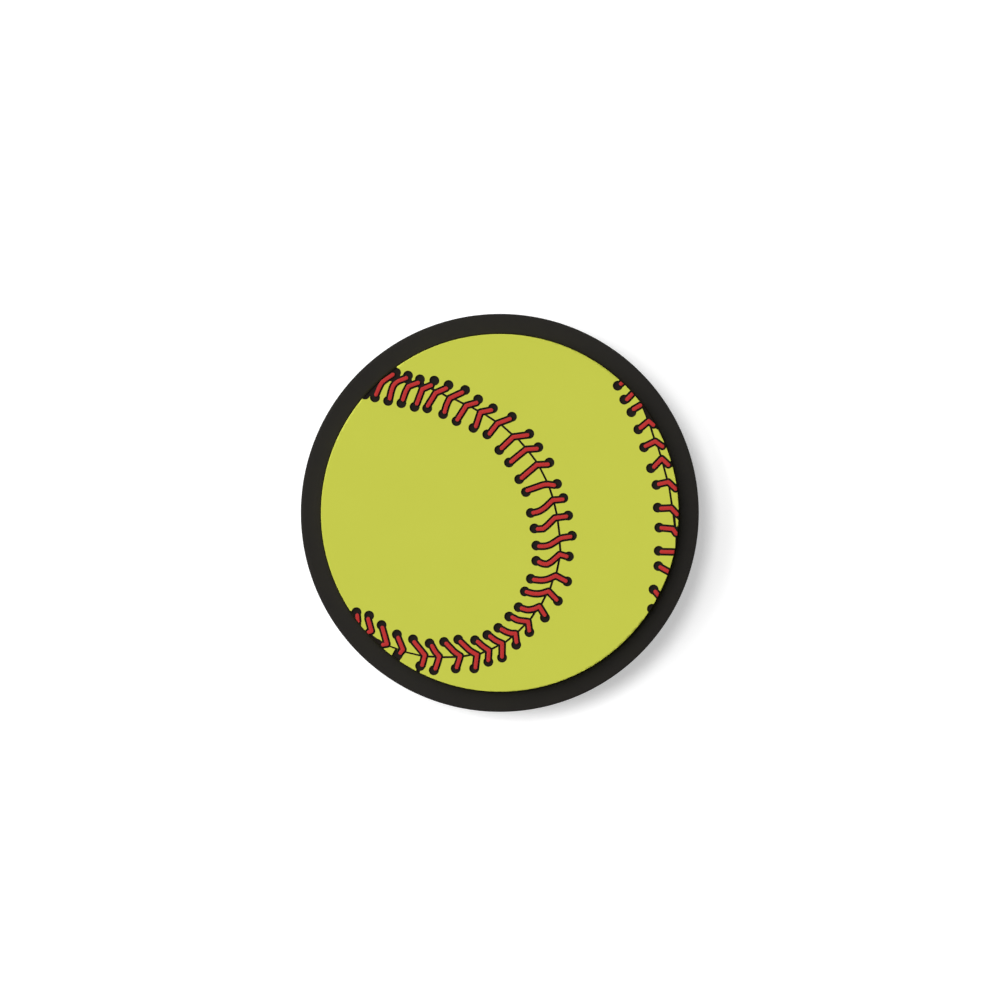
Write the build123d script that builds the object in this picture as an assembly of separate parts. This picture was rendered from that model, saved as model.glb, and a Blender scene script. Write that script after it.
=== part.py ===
from build123d import *
from math import radians, tan
import os

# Round snap-in charm with a softball face, lying on its button, face up.
# All lengths are in millimetres.

# Disc
outer_diameter = 28.0
rim_width = 1.43
rim_thickness = 2.2
rim_edge_radius = 0.25
back_edge_radius = 0.4

# Ball face, set in the disc and standing above the rim
face_rise = 0.8
face_seat_depth = 0.6
face_edge_radius = 0.15

# Linework and laces, set in the ball face
inlay_depth = 0.35
lace_width = 0.28
outline_width = 0.12
seam_line_width = 0.13
faint_seam_line_width = 0.1
seam_tuck = 0.16
hole_diameter = 0.68
tie_width = 0.26

# Button that snaps through the shoe
flange_diameter = 14.0
flange_thickness = 0.8
neck_diameter = 7.8
neck_length = 4.8
neck_fillet = 0.6
head_diameter = 12.0
head_thickness = 1.8
head_lead_radius = 1.0
head_catch_radius = 0.4
gate_dimple_diameter = 3.0
gate_dimple_depth = 0.3

# Overrun of the cutting shapes past the faces they cut
overrun = 0.5

# The photograph shows the face square on: its middle and the ball face's radius there, in pixels.
middle_pixel = (499.8, 512.85)
face_radius_pixels = 178.7634

# Laces of the left seam, from the top round to the bottom left, in pixels of the photograph:
# the hole at the inner end, the points of the lace, and the hole at the outer end, if the rim leaves one.
left_lace_pixels = [
    ((375.0, 397.4), [(376.0, 394.6), (378.7, 388.1), (381.8, 382.2), (385.7, 379.3), (392.8, 374.6)],
     (396.0, 372.6)),
    ((388.2, 400.9), [(389.7, 398.6), (391.0, 391.8), (393.5, 384.9), (397.2, 381.5), (406.3, 377.9)],
     (408.0, 375.7)),
    ((401.4, 403.2), [(402.9, 399.7), (405.4, 391.9), (408.6, 386.2), (418.2, 382.7)], (419.9, 379.4)),
    ((414.6, 406.9), [(416.8, 403.7), (422.3, 389.0), (431.1, 385.3)], (434.3, 380.7)),
    ((427.2, 408.3), [(427.7, 405.8), (435.7, 392.9), (446.2, 388.3)], (448.5, 385.1)),
    ((443.1, 414.1), [(444.5, 412.1), (446.4, 405.1), (449.8, 398.2), (462.3, 392.4)], (465.1, 390.0)),
    ((456.5, 421.1), [(457.3, 419.7), (466.3, 405.6), (476.5, 402.7)], (478.1, 399.4)),
    ((473.4, 427.9), [(475.8, 426.4), (480.5, 412.2), (491.3, 410.0)], (492.9, 408.3)),
    ((487.3, 434.4), [(489.5, 433.7), (497.5, 423.4), (509.9, 418.8)], (511.9, 416.8)),
    ((499.3, 450.0), [(501.5, 448.2), (513.3, 436.9), (527.5, 435.0)], (529.2, 433.8)),
    ((509.0, 462.5), [(511.0, 461.7), (526.0, 449.4), (537.0, 448.6)], (538.3, 447.2)),
    ((519.2, 479.2), [(521.5, 477.9), (536.9, 464.8), (547.9, 464.3)], (549.4, 462.5)),
    ((525.9, 492.0), [(527.2, 490.4), (545.5, 484.0), (554.2, 485.2)], (557.0, 483.9)),
    ((530.8, 512.9), [(533.0, 512.8), (538.6, 511.6), (544.2, 508.4), (552.9, 500.1), (562.6, 499.3)],
     (563.3, 498.0)),
    ((534.4, 528.4), [(537.6, 529.0), (543.2, 528.7), (547.4, 525.4), (554.7, 517.9), (566.3, 516.3)],
     (568.1, 515.5)),
    ((536.3, 545.5),
     [(539.0, 546.2), (544.3, 546.4), (550.0, 545.0), (555.7, 541.4), (560.3, 538.2), (570.6, 536.6)],
     (571.9, 535.7)),
    ((536.2, 560.8),
     [(538.9, 562.0), (543.0, 563.9), (547.2, 564.1), (551.2, 562.0), (559.8, 554.4), (566.7, 556.4)],
     (568.9, 556.4)),
    ((530.8, 578.7), [(533.8, 579.5), (541.4, 580.4), (547.1, 579.6), (555.8, 575.7), (565.7, 580.9)],
     (567.1, 581.4)),
    ((524.8, 591.4), [(526.5, 591.8), (532.9, 593.7), (540.0, 593.9), (548.4, 591.2), (556.6, 599.7)],
     (557.9, 600.9)),
    ((518.6, 607.1), [(521.5, 608.2), (527.5, 610.1), (533.5, 609.2), (539.4, 606.5), (544.6, 615.0)],
     (544.9, 617.6)),
    ((509.2, 616.5), [(512.2, 617.2), (517.8, 620.3), (528.1, 621.5), (529.3, 630.5)], (529.3, 632.1)),
    ((498.3, 627.8), [(501.5, 629.2), (506.2, 631.9), (511.4, 633.5), (515.4, 633.4), (516.4, 642.0)],
     (516.2, 644.7)),
    ((487.3, 634.9), [(490.0, 636.2), (495.2, 640.4), (502.2, 643.4), (502.0, 656.7)], (502.0, 657.5)),
    ((475.0, 640.2), [(477.6, 641.6), (482.8, 646.3), (488.8, 650.3), (488.3, 660.2)], (488.3, 661.7)),
    ((458.2, 639.5), [(460.5, 641.6), (470.2, 651.0), (477.0, 654.6), (475.4, 667.4)], (474.2, 668.3)),
    ((444.1, 641.9), [(446.2, 643.4), (454.9, 652.4), (460.3, 655.9), (456.7, 667.3)], (455.7, 668.4)),
    ((429.6, 643.3), [(431.9, 645.8), (435.3, 652.0), (439.3, 656.4), (437.4, 663.1), (435.4, 668.6)],
     (433.8, 670.2)),
    ((413.0, 639.3), [(414.2, 642.0), (424.8, 655.1), (422.2, 665.0)], (420.2, 665.8)),
    ((396.9, 634.4), [(398.1, 637.6), (403.0, 649.5), (400.3, 652.9)], (397.7, 655.1)),
    ((381.6, 625.0), [(382.4, 627.6), (387.0, 644.0), (383.0, 644.6)], None),
    ((369.1, 615.6), [(368.1, 618.8), (371.5, 631.0), (368.7, 632.0)], None),
    ((356.5, 612.2), [(357.2, 615.2), (357.8, 621.0)], None),
]

# Laces of the right seam, from the top down: the rim hides their outer holes.
right_lace_pixels = [
    ((617.7, 385.7), [(620.7, 383.9), (623.8, 381.2)], None),
    ((624.2, 399.6), [(626.9, 399.4), (631.8, 394.2)], None),
    ((631.3, 412.2), [(633.6, 409.2), (640.3, 405.3)], None),
    ((638.3, 429.4), [(640.4, 427.9), (648.7, 421.0), (653.3, 425.0)], None),
    ((644.0, 447.3), [(645.4, 446.1), (655.2, 441.3), (662.4, 446.4)], None),
    ((650.9, 468.2), [(653.9, 466.9), (661.7, 458.6), (668.2, 464.9)], None),
    ((656.4, 484.9), [(658.8, 484.1), (668.2, 482.0), (675.5, 488.9)], None),
    ((657.7, 507.6), [(660.9, 508.4), (671.2, 507.9), (677.0, 514.3)], None),
    ((659.2, 527.6), [(661.3, 527.9), (672.9, 529.0), (676.2, 533.8)], None),
    ((658.7, 550.8), [(661.5, 551.7), (675.7, 552.0)], None),
    ((658.3, 566.0), [(660.2, 567.1), (670.7, 572.9)], None),
    ((653.5, 589.5), [(655.2, 591.5), (659.5, 596.7)], None),
]

# Holes at the edge of the face whose laces the rim hides
left_bare_hole_pixels = [(365.1, 394.5)]
right_bare_hole_pixels = [(651.9, 608.8)]

# Seam lines between the laces, from the outline of one lace to the next
left_seam_pixels = [
    [(442.9, 394.1), (447.4, 396.8)],
    [(455.9, 399.7), (463.0, 403.5)],
    [(472.4, 407.5), (477.3, 410.6)],
    [(485.8, 414.9), (494.7, 420.9)],
    [(502.1, 425.4), (511.9, 434.4)],
    [(518.6, 439.5), (524.8, 446.9)],
    [(529.7, 452.7), (536.0, 461.2)],
    [(540.1, 468.0), (546.3, 480.5)],
    [(549.5, 487.7), (552.1, 495.7)],
    [(554.4, 503.8), (556.6, 514.0)],
    [(557.9, 521.6), (559.5, 534.7)],
    [(559.7, 543.2), (560.4, 550.8)],
    [(558.8, 561.5), (556.6, 572.2)],
    [(552.1, 582.1), (550.3, 587.9)],
    [(545.3, 596.3), (541.7, 603.5)],
    [(535.0, 612.0), (530.5, 619.1)],
    [(523.8, 625.8), (518.0, 631.6)],
    [(510.9, 637.6), (505.3, 642.1)],
    [(497.1, 646.2), (491.0, 649.3)],
    [(483.4, 652.3), (479.8, 653.9)],
    [(470.1, 654.9), (463.5, 656.2)],
    [(453.3, 656.9), (442.6, 657.2)],
    [(433.7, 656.7), (428.3, 656.4)],
]
left_faint_seam_pixels = [
    [(418.3, 655.0), (406.8, 652.3)],
    [(397.2, 648.9), (389.9, 646.2)],
]
right_seam_pixels = [
    [(643.3, 408.0), (647.1, 418.0)],
    [(650.5, 426.6), (654.1, 438.4)],
    [(657.9, 446.8), (660.4, 455.0)],
    [(663.6, 466.2), (666.8, 478.5)],
    [(669.6, 489.7), (671.6, 503.5)],
    [(673.4, 515.0), (674.5, 525.0)],
    [(674.2, 515.5), (675.0, 525.0)],
]

# Short black ties from a hole to the rim
left_tie_pixels = [[(418.6, 668.0), (417.4, 675.0)]]

# Black patches: where the linework fills the gaps between close laces, and out to the rim
left_patch_pixels = [
    [(357.0, 401.0), (362.0, 397.5), (371.0, 396.0), (375.0, 397.5), (381.9, 381.9), (395.8, 372.3),
     (396.6, 367.0), (398.0, 360.0), (365.0, 380.0)],
    [(388.0, 380.8), (391.5, 381.3), (393.5, 383.0), (401.0, 377.8), (399.8, 375.0), (393.0, 376.5)],
    [(402.0, 381.8), (405.7, 383.3), (409.0, 384.0), (411.8, 381.0), (411.5, 377.5), (406.0, 379.5)],
    [(415.5, 386.0), (418.9, 387.8), (421.5, 387.5), (424.6, 384.6), (423.5, 381.5), (418.5, 384.0)],
    [(429.3, 388.0), (432.2, 390.2), (434.5, 391.5), (435.0, 389.8), (433.8, 388.2), (433.0, 386.0)],
    [(349.5, 611.0), (351.6, 611.0), (354.0, 609.0), (356.0, 616.0)],
    [(358.0, 621.5), (361.1, 620.5), (361.1, 626.0), (358.0, 626.0)],
    [(365.6, 630.6), (367.6, 628.2), (370.0, 633.0), (366.5, 633.0)],
    [(371.8, 632.5), (373.2, 635.8), (377.1, 638.6), (380.6, 640.2), (386.0, 646.0), (380.0, 652.0),
     (366.0, 640.0)],
    [(395.5, 648.5), (391.5, 655.8), (396.0, 662.5), (399.3, 661.5), (402.6, 654.8)],
]
right_patch_pixels = [
    [(641.4, 404.0), (644.6, 410.5), (648.2, 418.0), (649.0, 421.0), (657.0, 425.0), (656.0, 418.0),
     (644.0, 400.0)],
    [(653.2, 427.0), (657.8, 429.6), (660.0, 427.0), (655.0, 422.0)],
    [(667.5, 461.6), (670.4, 461.4), (674.0, 463.0), (674.0, 467.0), (670.4, 467.0), (668.5, 464.0)],
    [(674.5, 516.5), (676.1, 517.7), (678.3, 520.0), (680.0, 516.0), (677.0, 513.0)],
    [(675.0, 526.4), (676.7, 527.0), (678.3, 524.8), (680.0, 527.0), (677.0, 532.0)],
    [(675.6, 534.0), (675.2, 548.5), (680.0, 548.5), (680.0, 534.0)],
]

# A lace bends smoothly where it turns by less than this many degrees, and has a knee where it turns more.
soft_turn_degrees = 30
bend_room_share = 0.45

disc_radius = outer_diameter / 2
face_radius = disc_radius - rim_width
pixel_size = face_radius / face_radius_pixels
hole_radius = hole_diameter / 2
flange_radius = flange_diameter / 2
neck_radius = neck_diameter / 2
head_radius = head_diameter / 2
gate_dimple_radius = gate_dimple_diameter / 2
outlined_lace_width = lace_width + 2 * outline_width

# Heights above the foot of the button
disc_bottom = head_thickness + neck_length
flange_top = disc_bottom + flange_thickness
rim_top = disc_bottom + rim_thickness
face_bottom = rim_top - face_seat_depth
face_top = rim_top + face_rise
inlay_bottom = face_top - inlay_depth


def spot(pixel):
    """Place on the part of a point of the photograph."""
    x = (pixel[0] - middle_pixel[0]) * pixel_size
    y = (middle_pixel[1] - pixel[1]) * pixel_size
    return Vector(x, y)


def centre_line(pixels):
    """Path through the points: wide arcs at the soft bends, a sharp corner at a knee."""
    points = [spot(pixel) for pixel in pixels]
    runs = [end - start for start, end in zip(points, points[1:])]
    radii = []
    for before, after in zip(runs, runs[1:]):
        turn = before.get_angle(after)
        room = bend_room_share * min(before.length, after.length) / tan(radians(turn / 2))
        radii.append(room if turn < soft_turn_degrees else 0)
    return FilletPolyline(*points, radius=radii) if radii else Line(*points)


def strip(path, width):
    """Flat strip of one width with round ends along a path."""
    return Face(Wire(path.edges()).offset_2d(width / 2, kind=Kind.ARC, side=Side.BOTH, closed=True))


def stroke(pixels, width):
    """Strip along the points."""
    return strip(centre_line(pixels), width)


def seam_line(pixels, width):
    """Thin strip between two laces, run on under the outlines of both."""
    start, end = [spot(pixel) for pixel in pixels]
    tuck = (end - start).normalized() * seam_tuck
    return strip(Line(start - tuck, end + tuck), width)


def hole(pixel):
    """Flat dot at the end of a lace."""
    place = spot(pixel)
    return Pos(place.X, place.Y) * Circle(hole_radius).face()


def patch(pixels):
    """Flat patch inside an outline."""
    return make_face(Polyline(*[spot(pixel) for pixel in pixels], close=True)).face()


def lace_shapes(laces):
    """Flat shape of each red lace."""
    return [stroke(points, lace_width) for inner_hole, points, outer_hole in laces]


def ground_shape(laces, bare_holes, seams, faint_seams, ties, patches):
    """Everything that is black or red in one seam, as one flat shape."""
    faces = [stroke(points, outlined_lace_width) for inner_hole, points, outer_hole in laces]
    faces += [hole(inner_hole) for inner_hole, points, outer_hole in laces]
    faces += [hole(outer_hole) for inner_hole, points, outer_hole in laces if outer_hole]
    faces += [hole(pixel) for pixel in bare_holes]
    faces += [seam_line(points, seam_line_width) for points in seams]
    faces += [seam_line(points, faint_seam_line_width) for points in faint_seams]
    faces += [stroke(points, tie_width) for points in ties]
    faces += [patch(points) for points in patches]
    return Sketch() + faces


def cutter(shape):
    """Solids that stand on a flat shape, from the bottom of the grooves to above the face."""
    return extrude(Pos(0, 0, inlay_bottom) * shape, amount=inlay_depth + overrun, dir=(0, 0, 1))


def turned(corners, radii):
    """Round solid from its half section: corners from the axis out and back to it, and their radii."""
    outline = FilletPolyline(*corners, radius=radii)
    section = make_face(outline + Line(corners[-1], corners[0]))
    return revolve(Plane.XZ * section, Axis.Z)


def make_disc():
    """Black disc: the rim, the backing, and the seats of the ball face and of the button's flange."""
    corners = [
        (0, flange_top),
        (flange_radius, flange_top),
        (flange_radius, disc_bottom),
        (disc_radius, disc_bottom),
        (disc_radius, rim_top),
        (face_radius, rim_top),
        (face_radius, face_bottom),
        (0, face_bottom),
    ]
    return turned(corners, [0, 0, back_edge_radius, rim_edge_radius, 0, 0])


def make_button():
    """Snap-in button in one piece: head with a gate dimple, neck, and the flange that the disc holds."""
    corners = [
        (0, gate_dimple_depth),
        (gate_dimple_radius, gate_dimple_depth),
        (gate_dimple_radius, 0),
        (head_radius, 0),
        (head_radius, head_thickness),
        (neck_radius, head_thickness),
        (neck_radius, disc_bottom),
        (flange_radius, disc_bottom),
        (flange_radius, flange_top),
        (0, flange_top),
    ]
    return turned(corners, [0, 0, head_lead_radius, head_catch_radius, neck_fillet, neck_fillet, 0, 0])


def make_face_disc():
    """Ball face with its rounded edge, before the grooves."""
    corners = [
        (0, face_bottom),
        (face_radius, face_bottom),
        (face_radius, face_top),
        (0, face_top),
    ]
    return turned(corners, [0, face_edge_radius])


def save(name, shape):
    """Write one node."""
    shape.label = name
    export_step(shape, f"parts/{name}.step")


def make_seam(side, face, laces, bare_holes, seams, faint_seams, ties, patches):
    """Laces and linework of one seam, flush with the face. Returns what cuts their grooves."""
    ground = ground_shape(laces, bare_holes, seams, faint_seams, ties, patches)
    reds = lace_shapes(laces)
    save(f"{side}_seam_linework", cutter(ground - reds) & face)
    for number, red in enumerate(reds, 1):
        save(f"{side}_lace_{number:02d}", cutter(red) & face)
    return cutter(ground)


os.makedirs("parts", exist_ok=True)
face_disc = make_face_disc()
left_cutter = make_seam(
    "left",
    face_disc,
    left_lace_pixels,
    left_bare_hole_pixels,
    left_seam_pixels,
    left_faint_seam_pixels,
    left_tie_pixels,
    left_patch_pixels,
)
right_cutter = make_seam(
    "right",
    face_disc,
    right_lace_pixels,
    right_bare_hole_pixels,
    right_seam_pixels,
    [],
    [],
    right_patch_pixels,
)
save("rim_disc", make_disc())
save("ball_face", face_disc - left_cutter - right_cutter)
save("snap_button", make_button())
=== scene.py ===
import math

import bmesh
import bpy
import numpy as np
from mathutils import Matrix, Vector
from mathutils.geometry import delaunay_2d_cdt


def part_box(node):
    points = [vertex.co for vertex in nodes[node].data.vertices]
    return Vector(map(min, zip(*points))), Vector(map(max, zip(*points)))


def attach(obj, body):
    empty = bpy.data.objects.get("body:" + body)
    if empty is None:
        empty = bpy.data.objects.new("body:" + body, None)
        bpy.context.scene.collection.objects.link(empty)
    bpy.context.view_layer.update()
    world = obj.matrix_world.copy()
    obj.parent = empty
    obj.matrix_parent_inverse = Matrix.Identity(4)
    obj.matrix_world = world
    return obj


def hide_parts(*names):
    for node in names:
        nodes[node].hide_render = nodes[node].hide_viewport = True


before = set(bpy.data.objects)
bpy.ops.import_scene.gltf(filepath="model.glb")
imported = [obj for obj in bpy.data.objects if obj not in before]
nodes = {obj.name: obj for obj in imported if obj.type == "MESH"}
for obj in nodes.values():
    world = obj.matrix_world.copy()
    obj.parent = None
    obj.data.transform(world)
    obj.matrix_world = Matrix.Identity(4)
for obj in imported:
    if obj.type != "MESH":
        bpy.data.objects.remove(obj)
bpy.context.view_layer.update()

# Round snap-in charm with a softball face, moulded in soft PVC, standing on its button on a white floor.
# Lengths in the dictionaries are in millimetres. The CAD frame is in metres.

millimetre = 0.001


# Heights and radii that the CAD pieces share, read from their boxes
ballLow, ballHigh = [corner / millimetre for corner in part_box("ball_face")]
rimLow, rimHigh = [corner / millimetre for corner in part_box("rim_disc")]
buttonLow, buttonHigh = [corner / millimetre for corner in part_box("snap_button")]
print("frame read: disc", round(rimHigh.x * 2, 2), "mm across, face", round(ballHigh.z, 2), "mm up")


def linearColour(hexText):
    # sRGB hex to linear: a straight foot below 0.04045, a power of 2.4 above it
    parts = [int(hexText[start:start + 2], 16) / 255 for start in (1, 3, 5)]
    linear = [part / 12.92 if part <= 0.04045 else ((part + 0.055) / 1.055) ** 2.4 for part in parts]
    return (*linear, 1.0)


def addNode(tree, kind, values=None, links=None, **settings):
    # One node: its settings, the values of its sockets, and what is linked into it
    node = tree.nodes.new(kind)
    for name, value in settings.items():
        setattr(node, name, value)
    for socket, value in (values or {}).items():
        node.inputs[socket].default_value = value
    for socket, (source, output) in (links or {}).items():
        tree.links.new(source.outputs[output], node.inputs[socket])
    return node


def emptyTree(owner):
    # Node tree of a material or world, with nothing in it yet
    owner.use_nodes = True
    owner.node_tree.nodes.clear()
    return owner.node_tree


def perMillimetre(size):
    # Noise scale that gives marks of this many millimetres on Object coordinates
    return 1 / (size * millimetre)


# Range that holds nearly all of a noise texture's values
noise = {"low": 0.3, "high": 0.7}


def mouldedPvc(name, look):
    # Soft PVC as it comes from the mould: an even pigment with slow tone drifts, a satin skin whose gloss
    # varies a little, the fine grain of an etched mould, and the slow waves of a casting that shrank
    material = bpy.data.materials.new(name)
    tree = emptyTree(material)
    place = addNode(tree, "ShaderNodeTexCoord")
    drift = addNode(tree, "ShaderNodeTexNoise", {"Scale": perMillimetre(look["driftSize"]), "Detail": 3.0},
                    {"Vector": (place, "Object")})
    grain = addNode(tree, "ShaderNodeTexNoise", {"Scale": perMillimetre(look["grainSize"]), "Detail": 2.0},
                    {"Vector": (place, "Object")})
    wave = addNode(tree, "ShaderNodeTexNoise", {"Scale": perMillimetre(look["waveSize"]), "Detail": 1.0},
                   {"Vector": (place, "Object")})
    tone = addNode(tree, "ShaderNodeValToRGB", None, {"Fac": (drift, "Fac")})
    first, last = tone.color_ramp.elements
    first.position, last.position = noise["low"], noise["high"]
    first.color, last.color = linearColour(look["deepColour"]), linearColour(look["colour"])
    smoothest = look["roughness"] - look["roughnessSpread"]
    roughest = look["roughness"] + look["roughnessSpread"]
    gloss = addNode(tree, "ShaderNodeMapRange",
                    {"From Min": noise["low"], "From Max": noise["high"], "To Min": smoothest,
                     "To Max": roughest}, {"Value": (grain, "Fac")})
    slowBump = addNode(tree, "ShaderNodeBump",
                       {"Strength": 1.0, "Distance": look["waveDepth"] * millimetre},
                       {"Height": (wave, "Fac")})
    fineBump = addNode(tree, "ShaderNodeBump",
                       {"Strength": 1.0, "Distance": look["grainDepth"] * millimetre},
                       {"Height": (grain, "Fac"), "Normal": (slowBump, "Normal")})
    shader = addNode(tree, "ShaderNodeBsdfPrincipled",
                     {"IOR": look["ior"], "Specular IOR Level": look["specular"]},
                     {"Base Color": (tone, "Color"), "Roughness": (gloss, "Result"),
                      "Normal": (fineBump, "Normal")})
    addNode(tree, "ShaderNodeOutputMaterial", None, {"Surface": (shader, "BSDF")})
    return material


# Ball face: yellow-green soft PVC, satin, so even that only a low light finds its grain
ballPvc = mouldedPvc("softPvcYellow", {
    "colour": "#C3C848", "deepColour": "#C2C747", "driftSize": 3.0, "grainSize": 0.16, "grainDepth": 0.001,
    "waveSize": 5.0, "waveDepth": 0.015, "roughness": 0.52, "roughnessSpread": 0.04, "ior": 1.53,
    "specular": 0.13})
# Rim and backing: black soft PVC, a warm black that goes grey where its rounded edge meets the light
rimPvc = mouldedPvc("softPvcBlack", {
    "colour": "#262420", "deepColour": "#242220", "driftSize": 2.0, "grainSize": 0.14, "grainDepth": 0.002,
    "waveSize": 4.0, "waveDepth": 0.02, "roughness": 0.4, "roughnessSpread": 0.05, "ior": 1.53,
    "specular": 0.07})
# Laces: red soft PVC filled in the mould's grooves, a little glossier than the face around them
lacePvc = mouldedPvc("softPvcRed", {
    "colour": "#B82F2C", "deepColour": "#B52D2B", "driftSize": 1.5, "grainSize": 0.12, "grainDepth": 0.0015,
    "waveSize": 3.0, "waveDepth": 0.01, "roughness": 0.48, "roughnessSpread": 0.04, "ior": 1.53,
    "specular": 0.11})
# Linework: the same black filled in hair-thin grooves, matt where it shrank in them
lineworkPvc = mouldedPvc("softPvcBlackLinework", {
    "colour": "#221C17", "deepColour": "#1F1914", "driftSize": 1.5, "grainSize": 0.12, "grainDepth": 0.0015,
    "waveSize": 3.0, "waveDepth": 0.01, "roughness": 0.5, "roughnessSpread": 0.04, "ior": 1.53,
    "specular": 0.08})
# Button: injection-moulded black PVC of a harder grade, smoother and shinier than the poured disc
buttonPvc = mouldedPvc("hardPvcBlack", {
    "colour": "#262422", "deepColour": "#22201E", "driftSize": 3.0, "grainSize": 0.12, "grainDepth": 0.0005,
    "waveSize": 4.0, "waveDepth": 0.015, "roughness": 0.32, "roughnessSpread": 0.05, "ior": 1.53,
    "specular": 0.4})
print("materials made")


# Corners of a CAD mesh that lie closer than this are one
merging = {"gap": 0.0005}


def addPiece(name, points, faces, material, slotName, nodeName, sharpAngle):
    # A mesh from arrays in millimetres, smooth but for edges past the sharp angle
    mesh = bpy.data.meshes.new(name)
    mesh.from_pydata((points * millimetre).tolist(), [], faces)
    mesh.polygons.foreach_set("use_smooth", [True] * len(mesh.polygons))
    mesh.set_sharp_from_angle(angle=math.radians(sharpAngle))
    mesh.materials.append(material)
    piece = bpy.data.objects.new(name, mesh)
    bpy.context.scene.collection.objects.link(piece)
    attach(piece, "root")
    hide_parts(nodeName)
    return piece


def roundedProfile(corners, radii, arcSteps, runStep):
    # Half section through the corners: each corner is cut back by its radius over the tangent of half its
    # angle and bridged by an arc, and the runs between are divided evenly
    corners = np.array(corners, float)
    stretches = [corners[:1]]
    for before, corner, after, radius in zip(corners, corners[1:], corners[2:], radii):
        if radius == 0:
            stretches.append(corner[None])
            continue
        toBefore = (before - corner) / np.linalg.norm(before - corner)
        toAfter = (after - corner) / np.linalg.norm(after - corner)
        half = math.acos(np.clip(toBefore @ toAfter, -1, 1)) / 2
        bisector = (toBefore + toAfter) / np.linalg.norm(toBefore + toAfter)
        centre = corner + bisector * radius / math.sin(half)
        start = corner + toBefore * radius / math.tan(half) - centre
        end = corner + toAfter * radius / math.tan(half) - centre
        first = math.atan2(start[1], start[0])
        turn = (math.atan2(end[1], end[0]) - first + math.pi) % (2 * math.pi) - math.pi
        angles = first + turn * np.linspace(0, 1, arcSteps + 1)
        stretches.append(centre + radius * np.stack([np.cos(angles), np.sin(angles)], axis=1))
    stretches.append(corners[-1:])
    knots = np.concatenate(stretches)
    lengths = np.linalg.norm(np.diff(knots, axis=0), axis=1)
    counts = np.maximum(np.ceil(lengths / runStep).astype(int), 1)
    run = np.repeat(np.arange(len(counts)), counts)
    share = (np.arange(len(run)) - np.repeat(np.cumsum(counts) - counts, counts)) / counts[run]
    divided = knots[run] + (knots[run + 1] - knots[run]) * share[:, None]
    return np.concatenate([divided, knots[-1:]])


def turnedSurface(profile, turns, lift=None):
    # Profile carried round the axis: x and y are the radius times the cosine and sine of the turn, z is the
    # profile's height plus what lift(x, y, z) adds. Both ends of the profile lie on the axis, as one point
    # each
    angle = np.arange(turns) * 2 * math.pi / turns
    radius, height = profile[1:-1, 0], profile[1:-1, 1]
    x = radius[:, None] * np.cos(angle)
    y = radius[:, None] * np.sin(angle)
    z = np.repeat(height[:, None], turns, axis=1)
    points = np.stack([x, y, z], axis=-1).reshape(-1, 3)
    ends = np.array([[0, 0, profile[0, 1]], [0, 0, profile[-1, 1]]], float)
    points = np.concatenate([points, ends])
    if lift is not None:
        points[:, 2] += lift(points[:, 0], points[:, 1], points[:, 2])
    rows = len(radius)
    here = np.arange((rows - 1) * turns).reshape(rows - 1, turns)
    beside = np.roll(here, -1, axis=1)
    quads = np.stack([here, beside, beside + turns, here + turns], axis=-1).reshape(-1, 4)
    firstRow = np.arange(turns)
    lastRow = firstRow + (rows - 1) * turns
    firstPole, lastPole = rows * turns, rows * turns + 1
    firstFan = np.stack([np.full(turns, firstPole), np.roll(firstRow, -1), firstRow], axis=-1)
    lastFan = np.stack([np.full(turns, lastPole), lastRow, np.roll(lastRow, -1)], axis=-1)
    return points, quads.tolist() + firstFan.tolist() + lastFan.tolist()


def mergedCopy(node):
    # The loose triangles of a CAD piece as one closed surface
    bm = bmesh.new()
    bm.from_mesh(node.data)
    bmesh.ops.remove_doubles(bm, verts=bm.verts, dist=merging["gap"] * millimetre)
    return bm


def arraysOf(bm):
    # Places in millimetres and faces of a surface that is done with
    mesh = bpy.data.meshes.new("read")
    bm.to_mesh(mesh)
    bm.free()
    points = np.empty(len(mesh.vertices) * 3)
    mesh.vertices.foreach_get("co", points)
    faces = [polygon.vertices[:] for polygon in mesh.polygons]
    bpy.data.meshes.remove(mesh)
    return points.reshape(-1, 3) / millimetre, faces


def faceOutwards(piece):
    # Normals of a closed surface recalculated
    bm = bmesh.new()
    bm.from_mesh(piece.data)
    bmesh.ops.recalc_face_normals(bm, faces=bm.faces)
    bm.to_mesh(piece.data)
    bm.free()


# Disc: rim and backing poured as one
disc = {
    "turns": 360, "arcSteps": 10, "runStep": 0.35, "outerRadius": 0.08, "backRadius": 0.4,
    "innerRadius": 0.12, "seatRadius": 0.05, "seatDepth": 0.6, "backWave": 0.012, "backWaveLength": 5.2,
    "oneWay": (0.8, 0.6), "otherWay": (0.5, -0.9), "waveStart": 1.0, "sharpAngle": 50}


def backWaves(x, y, z):
    # Slow crossed waves on the back, where the pour levelled in the open mould: the product of two cosines
    # turned against each other, fading to nothing above the back face
    pace = 2 * math.pi / disc["backWaveLength"]
    first = pace * (disc["oneWay"][0] * x + disc["oneWay"][1] * y) + disc["waveStart"]
    second = pace * (disc["otherWay"][0] * x + disc["otherWay"][1] * y)
    wave = np.cos(first) * np.cos(second)
    onBack = np.clip(1 - (z - rimLow.z) / disc["backRadius"], 0, 1)
    return disc["backWave"] * onBack * (1 + wave) / 2


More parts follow.
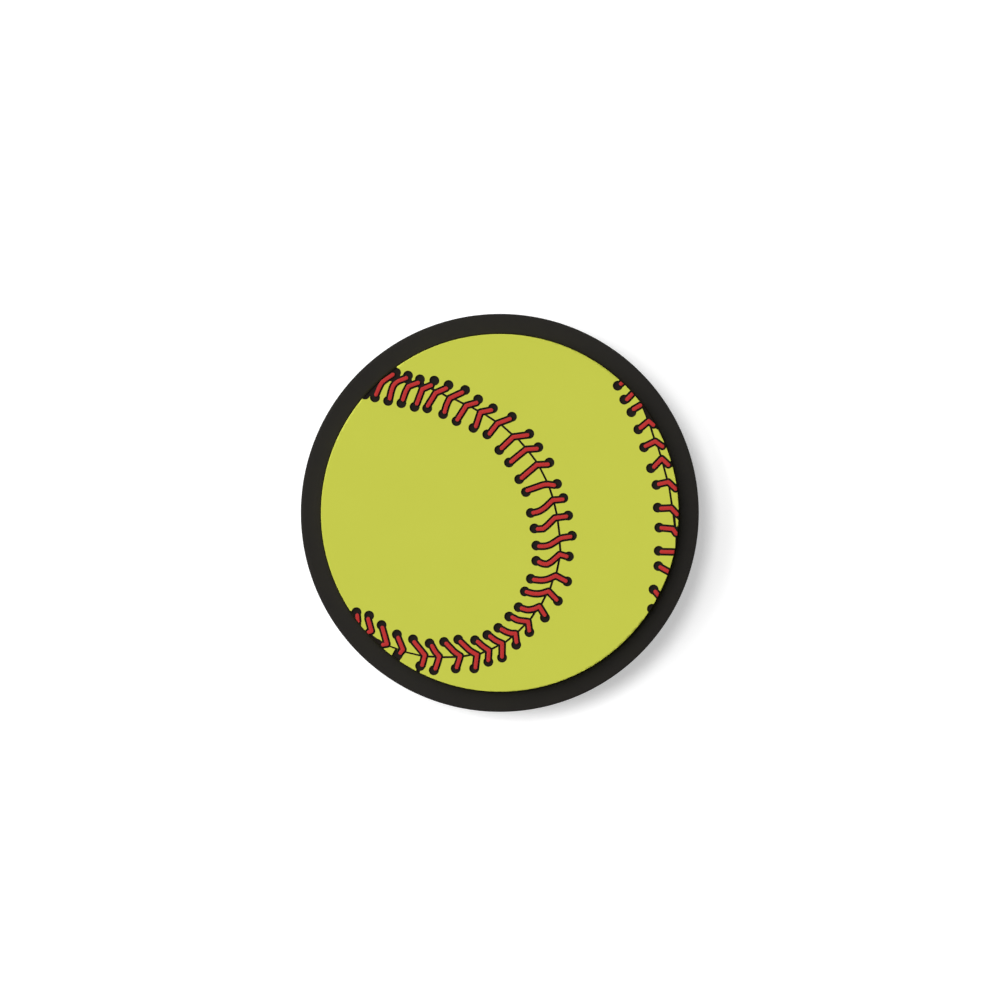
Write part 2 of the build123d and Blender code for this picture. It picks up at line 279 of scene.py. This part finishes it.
discProfile = roundedProfile(
    [(0, buttonHigh.z), (buttonHigh.x, buttonHigh.z), (buttonHigh.x, rimLow.z), (rimHigh.x, rimLow.z),
     (rimHigh.x, rimHigh.z), (ballHigh.x, rimHigh.z), (ballHigh.x, rimHigh.z - disc["seatDepth"]),
     (0, rimHigh.z - disc["seatDepth"])],
    [0, disc["seatRadius"], disc["backRadius"], disc["outerRadius"], disc["innerRadius"], 0],
    disc["arcSteps"], disc["runStep"])
rimDisc = addPiece("rimDisc", *turnedSurface(discProfile, disc["turns"], backWaves), rimPvc, "rim_black",
                   "rim_disc", disc["sharpAngle"])
faceOutwards(rimDisc)
print("disc made:", len(rimDisc.data.polygons), "faces")

# Button: head with a gate dimple and the stub of the gate, neck, and the flange that the disc holds
button = {
    "turns": 240, "arcSteps": 10, "runStep": 0.35, "neckRadius": 3.9, "neckFillet": 0.6, "headRadius": 6.0,
    "headHeight": 1.8, "headLead": 1.0, "headCatch": 0.4, "dimpleRadius": 1.5, "dimpleDepth": 0.3,
    "dimpleEdge": 0.08, "stubRadius": 0.45, "stubHeight": 0.18, "flangeEdge": 0.05, "sharpAngle": 50}
stubTop = button["dimpleDepth"] - button["stubHeight"]
buttonProfile = roundedProfile(
    [(0, stubTop), (button["stubRadius"], stubTop), (button["stubRadius"], button["dimpleDepth"]),
     (button["dimpleRadius"], button["dimpleDepth"]), (button["dimpleRadius"], 0), (button["headRadius"], 0),
     (button["headRadius"], button["headHeight"]), (button["neckRadius"], button["headHeight"]),
     (button["neckRadius"], rimLow.z), (buttonHigh.x, rimLow.z), (buttonHigh.x, buttonHigh.z),
     (0, buttonHigh.z)],
    [button["dimpleEdge"]] * 4 + [button["headLead"], button["headCatch"], button["neckFillet"],
                                  button["neckFillet"], button["flangeEdge"], 0],
    button["arcSteps"], button["runStep"])
snapButton = addPiece("snapButton", *turnedSurface(buttonProfile, button["turns"]), buttonPvc,
                      "button_black", "snap_button", button["sharpAngle"])
faceOutwards(snapButton)
print("button made:", len(snapButton.data.polygons), "faces")

# Ball face: the CAD piece with a crisper edge, as it comes from a cut mould
ball = {"roundedEdge": 0.15, "crispEdge": 0.03, "nearness": 0.01, "sharpAngle": 40}


def faceHeight(places, edge):
    # Height of the ball face: level, and at its rim the quarter round of its edge
    past = np.clip(np.linalg.norm(places[:, :2], axis=1) - (ballHigh.x - edge), 0, edge)
    return ballHigh.z - edge + np.sqrt(edge ** 2 - past ** 2)


def crisper(points):
    # What lies on the rounded edge of the CAD face moves straight up to the crisper edge
    rounded = faceHeight(points, ball["roundedEdge"])
    onTop = np.abs(points[:, 2] - rounded) < ball["nearness"]
    raised = points.copy()
    raised[:, 2] += np.where(onTop, faceHeight(points, ball["crispEdge"]) - rounded, 0)
    return raised


points, faces = arraysOf(mergedCopy(nodes["ball_face"]))
addPiece("ballFace", crisper(points), faces, ballPvc, "ball_yellow", "ball_face", ball["sharpAngle"])
print("ball face made:", len(faces), "faces")

# Linework: black that lines hair-thin grooves and sank in their middle as it set
linework = {
    "sink": 0.13, "rings": 2, "lip": 0.008, "spill": 0.012, "rise": 0.003, "topSlope": 0.3,
    "sharpAngle": 40}


def outOfWalls(bm):
    # Level direction out of the walls at each vertex: the sum of their normals there, brought to length one
    mesh = bpy.data.meshes.new("read")
    bm.to_mesh(mesh)
    normals = np.empty(len(mesh.polygons) * 3, np.float32)
    sides = np.empty(len(mesh.polygons), np.int32)
    corners = np.empty(len(mesh.loops), np.int32)
    mesh.polygons.foreach_get("normal", normals)
    mesh.polygons.foreach_get("loop_total", sides)
    mesh.loops.foreach_get("vertex_index", corners)
    outward = np.zeros((len(mesh.vertices), 2))
    bpy.data.meshes.remove(mesh)
    normals = np.repeat(normals.reshape(-1, 3), sides, axis=0)
    wall = np.abs(normals[:, 2]) < linework["topSlope"]
    np.add.at(outward, corners[wall], normals[wall, :2])
    return outward / np.maximum(np.linalg.norm(outward, axis=1), 1e-9)[:, None]


def troughSurface(node):
    # The CAD piece with its top set in twice: the outer ring is a level lip that spills a hair over the edges
    # of the grooves, and past the next ring the top is let down by the sink, so the walls are black too
    bm = mergedCopy(node)
    middle = (ballHigh.z + min(vert.co.z for vert in bm.verts) / millimetre) / 2 * millimetre
    top = [face for face in bm.faces
           if face.normal.z > linework["topSlope"] and face.calc_center_median().z > middle]
    for _ in range(linework["rings"]):
        bmesh.ops.inset_region(bm, faces=top, thickness=linework["lip"] * millimetre, use_boundary=True)
    bm.verts.index_update()
    inner = sorted({vert.index for face in top for vert in face.verts})
    outward = outOfWalls(bm)
    points, faces = arraysOf(bm)
    points = crisper(points)
    lip = points[:, 2] * millimetre > middle
    lip[inner] = False
    points[inner, 2] -= linework["sink"]
    points[lip, :2] += outward[lip] * linework["spill"]
    points[lip, 2] += linework["rise"]
    return points, faces


for side in ("left", "right"):
    nodeName = f"{side}_seam_linework"
    addPiece(f"{side}Linework", *troughSurface(nodes[nodeName]), lineworkPvc, "linework_black", nodeName,
             linework["sharpAngle"])
print("linework made")

# Laces: red filled in the grooves, standing a hair proud in the middle
lace = {
    "halfWidth": 0.14, "crown": 0.01, "outlineStep": 0.035, "gridStep": 0.04, "rowStep": 0.866,
    "outlineGap": 0.45, "sharpAngle": 40, "flatAngle": 1.0}


def bottomRing(node):
    # Outline of the CAD lace's underside, counter-clockwise, in millimetres, cut into short even steps
    bm = mergedCopy(node)
    bmesh.ops.dissolve_limit(bm, angle_limit=math.radians(lace["flatAngle"]), verts=bm.verts,
                             edges=bm.edges)
    bm.verts.index_update()
    underside = min(bm.faces, key=lambda face: face.normal.z * face.calc_area())
    corners = [vert.index for vert in underside.verts]
    points, _ = arraysOf(bm)
    ring = points[corners][::-1]
    following = np.roll(ring, -1, axis=0)
    lengths = np.linalg.norm(following - ring, axis=1)
    counts = np.maximum(np.ceil(lengths / lace["outlineStep"]).astype(int), 1)
    side = np.repeat(np.arange(len(ring)), counts)
    share = (np.arange(len(side)) - np.repeat(np.cumsum(counts) - counts, counts)) / counts[side]
    return ring[side] + (following[side] - ring[side]) * share[:, None]


def ringDistance(places, ring):
    # Shortest distance from each place to the ring's sides, and whether the place is inside: a line to the
    # right crosses the ring an odd number of times
    start, end = ring, np.roll(ring, -1, axis=0)
    side = end - start
    across = places[:, None] - start
    share = np.clip((across * side).sum(-1) / np.maximum((side * side).sum(-1), 1e-12), 0, 1)
    distance = np.linalg.norm(across - share[..., None] * side, axis=-1).min(axis=1)
    spans = (start[:, 1] > places[:, None, 1]) != (end[:, 1] > places[:, None, 1])
    rise = np.where(side[:, 1] == 0, 1, side[:, 1])
    meets = start[:, 0] + side[:, 0] * (places[:, None, 1] - start[:, 1]) / rise
    inside = (spans & (meets > places[:, None, 0])).sum(axis=1) % 2 == 1
    return distance, inside


def laceSurface(node):
    # Top: height of the face plus a crown that rises with the distance from the outline as a parabola,
    # level in the middle of the lace, on a grid of near-equilateral triangles. Walls go straight down to
    # the flat underside
    ring = bottomRing(node)
    floorHeight = ring[0, 2]
    ring = ring[:, :2]
    low, high = ring.min(axis=0), ring.max(axis=0)
    step = lace["gridStep"]
    columns = np.arange(low[0], high[0], step)
    rows = np.arange(low[1], high[1], step * lace["rowStep"])
    gridX, gridY = np.meshgrid(columns, rows)
    gridX[1::2] += step / 2
    grid = np.stack([gridX.ravel(), gridY.ravel()], axis=1)
    distance, inside = ringDistance(grid, ring)
    grid = grid[inside & (distance > step * lace["outlineGap"])]
    flat = np.concatenate([ring, grid])
    count = len(ring)
    places = [Vector(place) for place in flat.tolist()]
    spread, _, triangles, *_ = delaunay_2d_cdt(places, [], [list(range(count))], 1, 1e-6)
    flat = np.array([place[:] for place in spread])
    distance, _ = ringDistance(flat, ring)
    risen = 1 - (1 - np.clip(distance / lace["halfWidth"], 0, 1)) ** 2
    top = np.column_stack([flat, faceHeight(flat, ball["crispEdge"]) + lace["crown"] * risen])
    foot = np.column_stack([ring, np.full(count, floorHeight)])
    here = np.arange(count)
    beside = np.roll(here, -1)
    below = here + len(top)
    walls = np.stack([below, np.roll(below, -1), beside, here], axis=-1)
    faces = [list(triangle) for triangle in triangles] + walls.tolist() + [below[::-1].tolist()]
    return np.concatenate([top, foot]), faces


laceNodes = sorted(name for name in nodes if "_lace_" in name)
for nodeName in laceNodes:
    side, _, number = nodeName.split("_")
    addPiece(f"{side}Lace{number}", *laceSurface(nodes[nodeName]), lacePvc, "lace_red", nodeName,
             lace["sharpAngle"])
print("laces made:", len(laceNodes))

# Camera: straight above, from far away through a long lens, as in the photograph. The middle of the picture
# lies a little above the middle of the charm.
photoView = {
    "aimX": 0.014, "aimY": 0.904, "frameWidth": 70.32, "distance": 2000.0, "sensor": 36.0,
    "nearest": 10.0, "farthest": 50000.0}
camera = bpy.data.objects.new("camera", bpy.data.cameras.new("camera"))
bpy.context.scene.collection.objects.link(camera)
camera.data.sensor_width = photoView["sensor"]
camera.data.lens = photoView["sensor"] * photoView["distance"] / photoView["frameWidth"]
camera.data.clip_start = photoView["nearest"] * millimetre
camera.data.clip_end = photoView["farthest"] * millimetre
camera.location = (photoView["aimX"] * millimetre, photoView["aimY"] * millimetre,
                   (rimHigh.z + photoView["distance"]) * millimetre)
camera.data.dof.use_dof = False
bpy.context.scene.camera = camera

# Floor: matt white sweep. What the camera and reflections see of it is lifted to white, and the charm's
# shadow stays. It lies a hair under the button and is clear from below, so that the back can be looked at.
# Its size is in metres
studio = {
    "floorSize": 3.0, "floorDrop": 0.02, "floorColour": "#E7E7E7", "floorLift": 0.395, "horizon": 1.0,
    "overhead": 0.12, "horizonEnd": 0.15, "overheadStart": 0.4}
half = studio["floorSize"] / 2
low = -studio["floorDrop"] * millimetre
floorMesh = bpy.data.meshes.new("floor")
floorMesh.from_pydata([(-half, -half, low), (half, -half, low), (half, half, low), (-half, half, low)], [],
                      [(0, 1, 2, 3)])
floor = bpy.data.objects.new("floor", floorMesh)
bpy.context.scene.collection.objects.link(floor)
paper = bpy.data.materials.new("mattWhitePaper")
tree = emptyTree(paper)
rays = addNode(tree, "ShaderNodeLightPath")
seen = addNode(tree, "ShaderNodeMath", None, {0: (rays, "Is Camera Ray"), 1: (rays, "Is Glossy Ray")},
               operation="MAXIMUM")
seenThrough = addNode(tree, "ShaderNodeMath", None, {0: (seen, "Value"), 1: (rays, "Is Transmission Ray")},
                      operation="MAXIMUM")
liftAmount = addNode(tree, "ShaderNodeMath", {1: studio["floorLift"]}, {0: (seenThrough, "Value")},
                     operation="MULTIPLY")
matt = addNode(tree, "ShaderNodeBsdfDiffuse", {"Color": linearColour(studio["floorColour"])})
lift = addNode(tree, "ShaderNodeEmission", None, {"Strength": (liftAmount, "Value")})
both = addNode(tree, "ShaderNodeAddShader", None, {0: (matt, "BSDF"), 1: (lift, "Emission")})
facing = addNode(tree, "ShaderNodeNewGeometry")
clear = addNode(tree, "ShaderNodeBsdfTransparent")
oneWay = addNode(tree, "ShaderNodeMixShader", None,
                 {0: (facing, "Backfacing"), 1: (both, "Shader"), 2: (clear, "BSDF")})
addNode(tree, "ShaderNodeOutputMaterial", None, {"Surface": (oneWay, "Shader")})
floorMesh.materials.append(paper)

# Air: a white horizon that goes dim overhead, so that the black plastic stays black from above. The
# camera sees plain white
world = bpy.data.worlds.new("studio")
bpy.context.scene.world = world
tree = emptyTree(world)
direction = addNode(tree, "ShaderNodeTexCoord")
parts = addNode(tree, "ShaderNodeSeparateXYZ", None, {"Vector": (direction, "Generated")})
dome = addNode(tree, "ShaderNodeMapRange",
               {"From Min": studio["horizonEnd"], "From Max": studio["overheadStart"],
                "To Min": studio["horizon"], "To Max": studio["overhead"]}, {"Value": (parts, "Z")})
rays = addNode(tree, "ShaderNodeLightPath")
shown = addNode(tree, "ShaderNodeMath", None, {0: (dome, "Result"), 1: (rays, "Is Camera Ray")},
                operation="MAXIMUM")
air = addNode(tree, "ShaderNodeBackground", {"Color": (1, 1, 1, 1)}, {"Strength": (shown, "Value")})
addNode(tree, "ShaderNodeOutputWorld", None, {"Surface": (air, "Background")})

# Lamps: soft windows far away at the upper left. The charm in the photograph lies lower than on its
# button, so its shadow on the ground is short. Here the floor is farther down, and three lamps of its own
# give the same shadow
lamps = {
    "charmWindow": {
        "turn": 149.5, "elevation": 44.0, "spread": 76.0, "strength": 3.75, "floor": "EXCLUDE"},
    "floorSkylight": {
        "turn": 148.0, "elevation": 82.7, "spread": 8.8, "strength": 1.44, "floor": "INCLUDE"},
    "floorWindow": {
        "turn": 179.0, "elevation": 68.8, "spread": 17.5, "strength": 1.19, "floor": "INCLUDE"},
    "floorFarWindow": {
        "turn": 129.0, "elevation": 51.6, "spread": 25.8, "strength": 0.60, "floor": "INCLUDE"}}


def addSun(name, lamp):
    # A far lamp: its turn about the axis and elevation in degrees, and whether it lights the floor alone or
    # all but the floor
    light = bpy.data.lights.new(name, "SUN")
    light.energy = lamp["strength"]
    light.angle = math.radians(lamp["spread"])
    sun = bpy.data.objects.new(name, light)
    bpy.context.scene.collection.objects.link(sun)
    turn, rise = math.radians(lamp["turn"]), math.radians(lamp["elevation"])
    towards = Vector((math.cos(turn) * math.cos(rise), math.sin(turn) * math.cos(rise), math.sin(rise)))
    sun.rotation_euler = towards.to_track_quat("Z", "Y").to_euler()
    lit = bpy.data.collections.new(name + "Lit")
    lit.objects.link(floor)
    lit.collection_objects[0].light_linking.link_state = lamp["floor"]
    sun.light_linking.receiver_collection = lit


for name, lamp in lamps.items():
    addSun(name, lamp)
bpy.context.scene.view_settings.view_transform = "Standard"
print("studio made")
